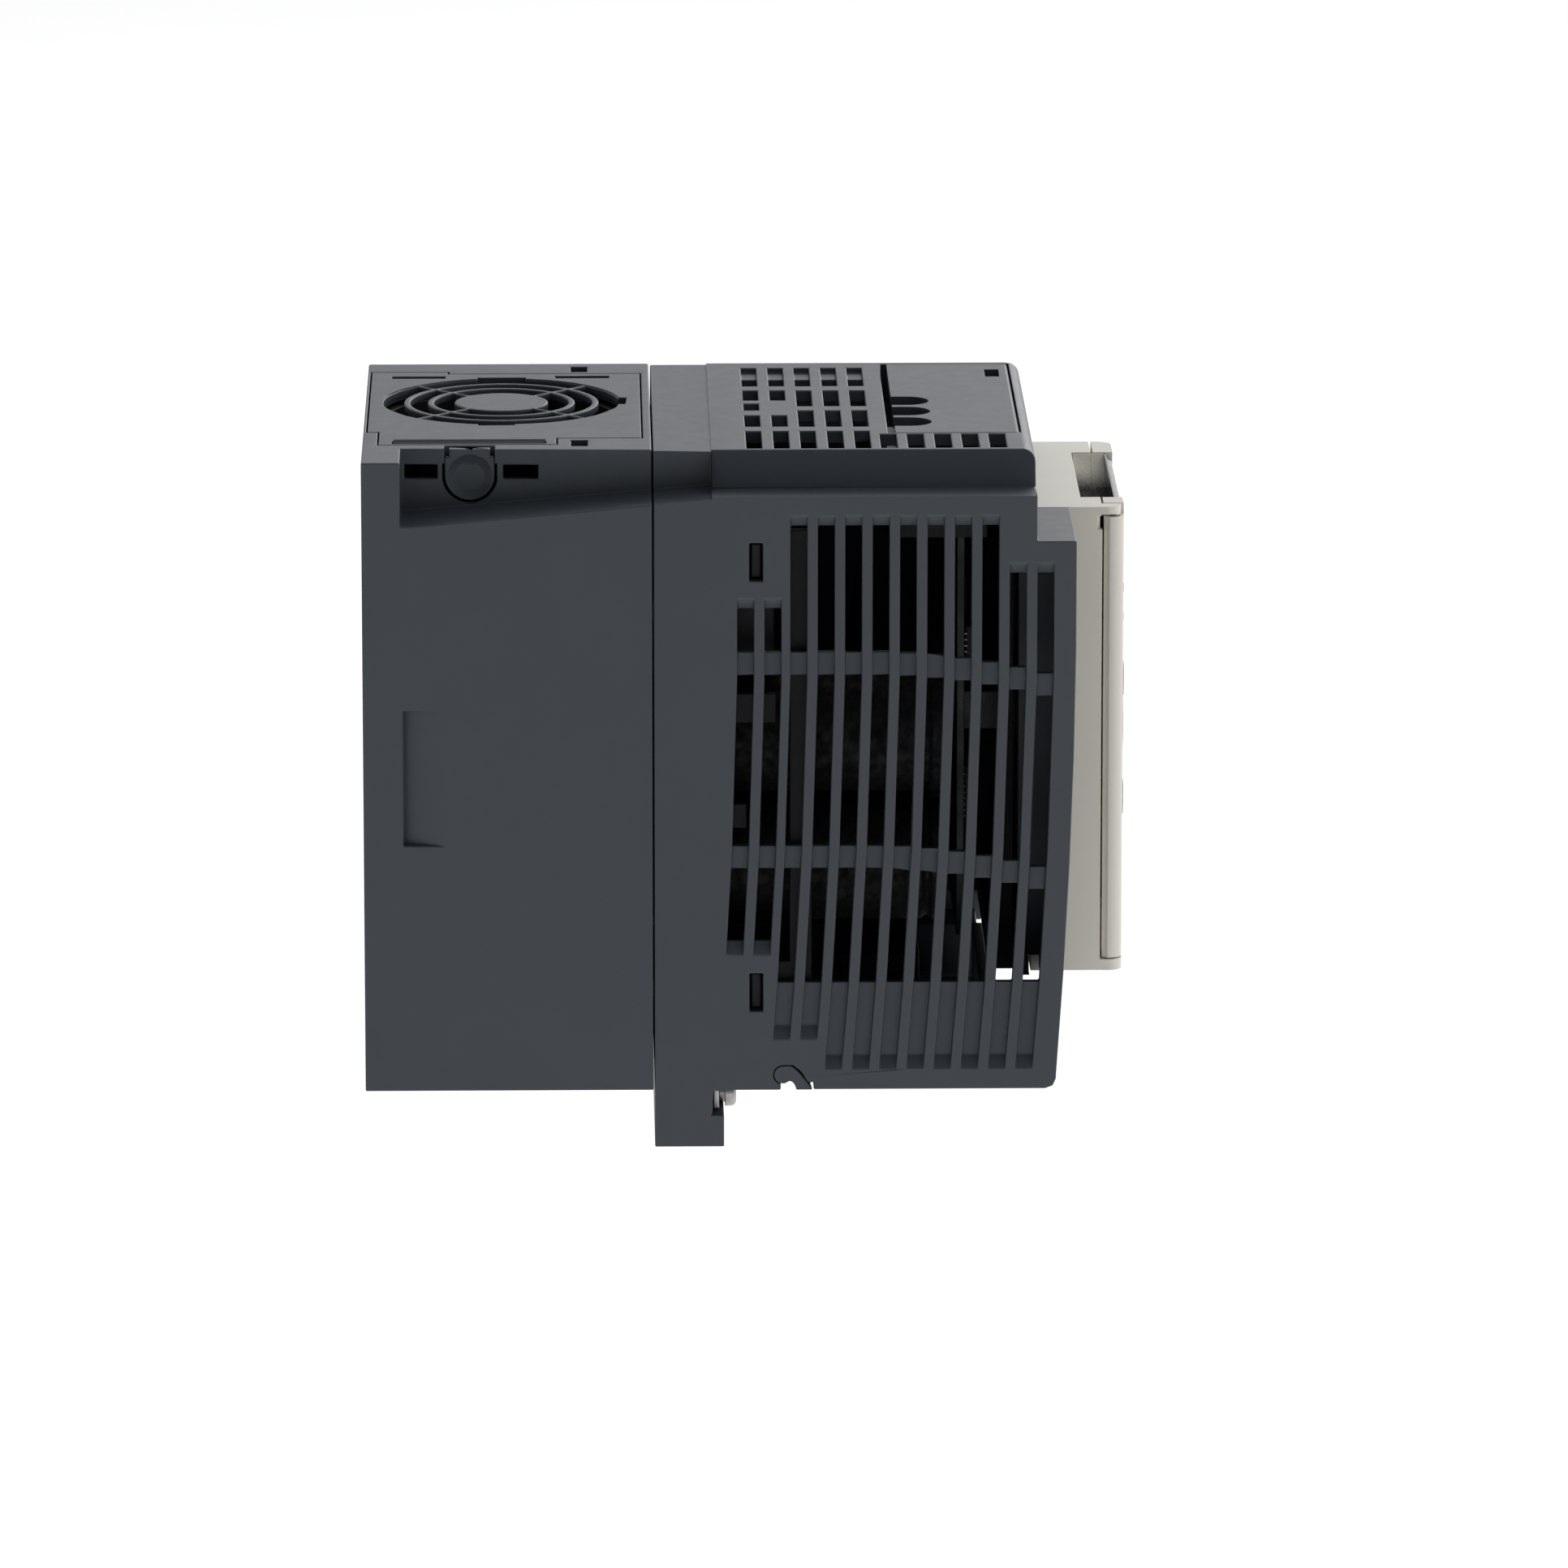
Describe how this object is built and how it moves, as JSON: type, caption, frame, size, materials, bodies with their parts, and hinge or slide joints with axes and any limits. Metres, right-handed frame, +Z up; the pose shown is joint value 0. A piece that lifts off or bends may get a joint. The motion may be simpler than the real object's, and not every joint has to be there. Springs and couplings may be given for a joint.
{
  "type": "variable frequency drive",
  "caption": "Compact wall-mounted variable frequency drive: dark louvred housing, top cooling fan, pale operator panel door with jog dial and keys, hinged terminal covers.",
  "frame": {"origin": "centre of the back mounting face, midway between the two mounting holes", "axes": "+Z up, +Y out of the back face into the wall, front faces -Y, +X towards the right side seen from the front"},
  "size_m": [0.105, 0.1572, 0.143],
  "materials": {
    "dark_plastic": "fine moulded texture, slate grey",
    "pale_plastic": "fine spark-eroded texture, warm off-white",
    "black_plastic": "moulded, satin",
    "grey_plastic": "moulded, satin",
    "smoked_gloss": "polished, dark smoked",
    "green_plastic": "moulded, satin",
    "red_plastic": "moulded, satin",
    "circuit_board": "solder mask on glass laminate",
    "capacitor_sleeve": "shrink sleeve, dark brown",
    "aluminium": "extruded, plain",
    "steel": "zinc plated"
  },
  "bodies": {
    "drive": {"rear_housing": "dark_plastic", "heatsink": "aluminium", "front_housing": "dark_plastic", "panel_housing": "pale_plastic", "door_hinge_pin": "steel", "finger_scoop": "smoked_gloss", "rj45_socket": "black_plastic", "logic_switch_base": "black_plastic", "control_terminal_block": "green_plastic", "chassis_frame": "dark_plastic", "power_board": "circuit_board", "control_board": "circuit_board", "power_module": "black_plastic", "module_screw_1": "steel", "module_screw_2": "steel", "filter_choke": "capacitor_sleeve", "charge_relay": "black_plastic", "bus_capacitor_1": "capacitor_sleeve", "bus_capacitor_2": "capacitor_sleeve", "bus_capacitor_3": "capacitor_sleeve", "line_terminal_block": "black_plastic", "line_terminal_screw_1": "steel", "line_terminal_screw_2": "steel", "line_terminal_screw_3": "steel", "motor_terminal_block": "black_plastic", "motor_terminal_screw_1": "steel", "motor_terminal_screw_2": "steel", "motor_terminal_screw_3": "steel", "earth_plate": "steel", "earth_screw_1": "steel", "earth_screw_2": "steel", "case_screw_1": "steel", "case_screw_2": "steel"},
    "fan_module": {"fan_cover": "dark_plastic", "fan_frame": "black_plastic"},
    "fan_rotor": {"fan_rotor": "black_plastic"},
    "fan_latch": {"fan_latch": "dark_plastic"},
    "line_cover": {"line_terminal_cover": "dark_plastic"},
    "motor_cover": {"motor_terminal_cover": "dark_plastic"},
    "door": {"panel_door": "pale_plastic", "display_lens": "smoked_gloss", "display_module": "black_plastic", "panel_board": "circuit_board", "rotary_encoder": "black_plastic", "status_led_1": "green_plastic", "status_led_2": "red_plastic"},
    "dial_carrier": {"jog_dial_shaft": "steel"},
    "dial": {"jog_dial": "grey_plastic"},
    "esc_key": {"esc_button": "grey_plastic"},
    "mode_key": {"mode_button": "grey_plastic"},
    "run_key": {"run_button": "green_plastic"},
    "stop_key": {"stop_button": "red_plastic"},
    "logic_slider": {"logic_switch": "pale_plastic"}
  },
  "joints": [
    {"name": "fan_lift", "type": "slide", "parent": "drive", "child": "fan_module", "axis": [0, 0, 1], "range_m": [0, 0.024]},
    {"name": "fan_spin", "type": "hinge", "parent": "fan_module", "child": "fan_rotor", "pos_m": [0.012, -0.0281, 0.052], "axis": [0, 0, 1], "continuous": true},
    {"name": "fan_latch_press", "type": "hinge", "parent": "drive", "child": "fan_latch", "pos_m": [-0.0345, -0.0219, 0.0613], "axis": [0, -1, 0], "range_deg": [0, 9], "stiffness_Nm_per_rad": 0.02},
    {"name": "line_cover_hinge", "type": "hinge", "parent": "drive", "child": "line_cover", "pos_m": [0, -0.1332, 0.0643], "axis": [1, 0, 0], "range_deg": [0, 95]},
    {"name": "motor_cover_hinge", "type": "hinge", "parent": "drive", "child": "motor_cover", "pos_m": [0, -0.0854, -0.0624], "axis": [1, 0, 0], "range_deg": [0, 56]},
    {"name": "door_hinge", "type": "hinge", "parent": "drive", "child": "door", "pos_m": [-0.0156, -0.1542, 0], "axis": [0, 0, -1], "range_deg": [0, 110]},
    {"name": "dial_push", "type": "slide", "parent": "door", "child": "dial_carrier", "axis": [0, 1, 0], "range_m": [0, 0.0006], "stiffness_N_per_m": 800},
    {"name": "dial_turn", "type": "hinge", "parent": "dial_carrier", "child": "dial", "pos_m": [0.0165, -0.155, -0.0015], "axis": [0, -1, 0], "continuous": true},
    {"name": "esc_press", "type": "slide", "parent": "door", "child": "esc_key", "axis": [0, 1, 0], "range_m": [0, 0.0008], "stiffness_N_per_m": 600},
    {"name": "mode_press", "type": "slide", "parent": "door", "child": "mode_key", "axis": [0, 1, 0], "range_m": [0, 0.0008], "stiffness_N_per_m": 600},
    {"name": "run_press", "type": "slide", "parent": "door", "child": "run_key", "axis": [0, 1, 0], "range_m": [0, 0.0008], "stiffness_N_per_m": 600},
    {"name": "stop_press", "type": "slide", "parent": "door", "child": "stop_key", "axis": [0, 1, 0], "range_m": [0, 0.0008], "stiffness_N_per_m": 600},
    {"name": "logic_switch_slide", "type": "slide", "parent": "drive", "child": "logic_slider", "axis": [1, 0, 0], "range_m": [0, 0.004]}
  ]
}
